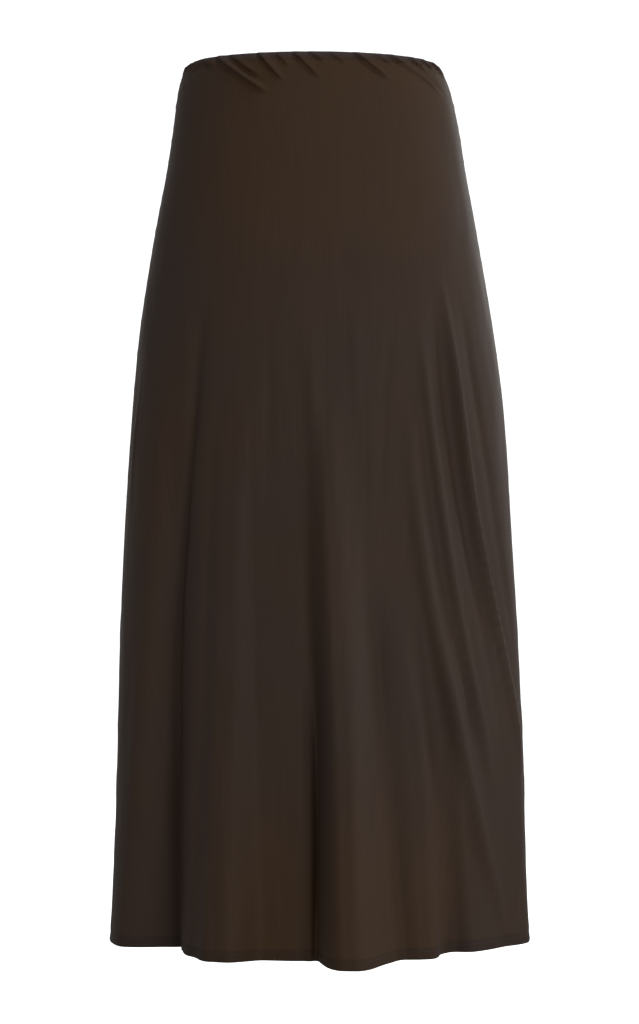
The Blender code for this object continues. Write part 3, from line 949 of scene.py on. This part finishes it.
def sew(name, panel, drop, inside, material):
    """A row of stitches round a panel, half sunk in the cloth."""
    sewing = bpy.context.scene.skirt_sewing
    places, cloth_places, outward = lay_cloth(panel, [(drop, inside), (drop + 1, inside)], STITCH_COLUMNS)
    walked = cloth_places[0, :, 0]
    bm = bmesh.new()
    for stop in np.arange(walked[0] + SEAM_ROOM * MM, walked[-1] - SEAM_ROOM * MM, sewing.pitch):
        column = min(np.searchsorted(walked, stop), STITCH_COLUMNS - 1)
        way = Vector(places[0, column + 1] - places[0, column - 1]).normalized()
        out = Vector((*outward[0, column], 0)).normalized()
        turn = Matrix((way, out, way.cross(out))).transposed().to_4x4()
        size = Matrix.Diagonal((sewing.stitch / 2, sewing.thread_radius, sewing.thread_radius, 1))
        place = Matrix.Translation(Vector(places[0, column]) + out * THREAD_PROUD * MM)
        bmesh.ops.create_uvsphere(bm, u_segments=6, v_segments=6, radius=1, matrix=place @ turn @ size)
    bmesh.ops.recalc_face_normals(bm, faces=bm.faces[:])
    return finish_mesh(name, bm, material)


# ---------------------------------------------------------------- studio


class SKIRT_OT_studio(bpy.types.Operator):
    """Set up the white floor and wall, the lamps and the camera"""

    bl_idname = "skirt.studio"
    bl_label = "Studio"

    def execute(self, context):
        scene = context.scene
        studio = scene.skirt_studio
        make_cyclorama(studio.floor_height)
        world = bpy.data.worlds.new("studio_air")
        world.use_nodes = True
        background = world.node_tree.nodes["Background"]
        background.inputs["Color"].default_value = linear("FFFFFF")
        background.inputs["Strength"].default_value = studio.sky
        scene.world = world
        for light in LIGHTS:
            hang_light(light, studio.brightness)
        camera = bpy.data.cameras.new("camera")
        camera.lens = studio.lens
        camera.sensor_width = 36
        camera.clip_end = 100
        holder = bpy.data.objects.new("camera", camera)
        holder.location = studio.camera
        holder.rotation_euler = (np.pi / 2, 0, 0)
        scene.collection.objects.link(holder)
        scene.camera = holder
        scene.view_settings.view_transform = "Standard"
        return {"FINISHED"}


def make_cyclorama(floor_height):
    """A round floor that curves up into a wall on all sides. Only the camera sees it, so it neither lights
    the cloth nor shades it."""
    radius, cove, wall = 7.0, 2.0, 7.0
    steps = 96
    bm = bmesh.new()
    profile = [(0.02, 0.0), (radius - cove, 0.0)]
    turns = np.linspace(0, np.pi / 2, 10)[1:]
    profile += [(radius - cove + cove * np.sin(t), cove * (1 - np.cos(t))) for t in turns]
    profile.append((radius, wall))
    verts = [bm.verts.new((x, 0, z + floor_height)) for x, z in profile]
    edges = [bm.edges.new(pair) for pair in zip(verts, verts[1:])]
    bmesh.ops.spin(
        bm, geom=verts + edges, axis=(0, 0, 1), cent=(0, 0, 0), angle=2 * np.pi, steps=steps, use_merge=True
    )
    bmesh.ops.holes_fill(bm, edges=[edge for edge in bm.edges if edge.is_boundary], sides=steps)
    bmesh.ops.recalc_face_normals(bm, faces=bm.faces[:])
    stage = finish_mesh("studio_floor_and_wall", bm, white_board("white_painted_board"))
    stage.visible_diffuse = False
    stage.visible_glossy = False
    stage.visible_transmission = False
    stage.visible_volume_scatter = False
    stage.visible_shadow = False


def hang_light(light, brightness):
    """A soft box that looks at the skirt and isn't seen itself."""
    turn, rise = np.radians(light.azimuth), np.radians(light.elevation)
    aim = Vector((0, 0, light.aim))
    way = Vector((np.sin(turn) * np.cos(rise), -np.cos(turn) * np.cos(rise), np.sin(rise)))
    lamp = bpy.data.lights.new(light.name, "AREA")
    lamp.shape = "RECTANGLE"
    lamp.size, lamp.size_y = light.width, light.height
    lamp.energy = light.watts * brightness
    holder = bpy.data.objects.new(light.name, lamp)
    holder.location = aim + way * light.distance
    holder.rotation_euler = (-way).to_track_quat("-Z", "Y").to_euler()
    holder.visible_camera = False
    bpy.context.scene.collection.objects.link(holder)


class SKIRT_PT_sidebar(bpy.types.Panel):
    """The skirt's pieces, sizes and colours"""

    bl_idname = "SKIRT_PT_sidebar"
    bl_label = "Midi skirt"
    bl_space_type = "VIEW_3D"
    bl_region_type = "UI"
    bl_category = "Skirt"

    def draw(self, context):
        for operator in OPERATORS:
            self.layout.operator(operator.bl_idname)
        for group in (context.scene.skirt_cloth, context.scene.skirt_sewing, context.scene.skirt_studio):
            box = self.layout.box()
            for name in group.__annotations__:
                box.prop(group, name)


GROUPS = {"skirt_cloth": SkirtCloth, "skirt_sewing": SkirtSewing, "skirt_studio": SkirtStudio}
OPERATORS = (SKIRT_OT_panels, SKIRT_OT_casing, SKIRT_OT_stitches, SKIRT_OT_studio)


def register():
    for made in (*GROUPS.values(), *OPERATORS, SKIRT_PT_sidebar):
        bpy.utils.register_class(made)
    for name, group in GROUPS.items():
        setattr(bpy.types.Scene, name, PointerProperty(type=group))


def unregister():
    for name in GROUPS:
        delattr(bpy.types.Scene, name)
    for made in reversed((*GROUPS.values(), *OPERATORS, SKIRT_PT_sidebar)):
        bpy.utils.unregister_class(made)


def main():
    register()
    bpy.ops.skirt.panels()
    bpy.ops.skirt.casing()
    bpy.ops.skirt.stitches()
    bpy.ops.skirt.studio()


if __name__ == "__main__":
    main()
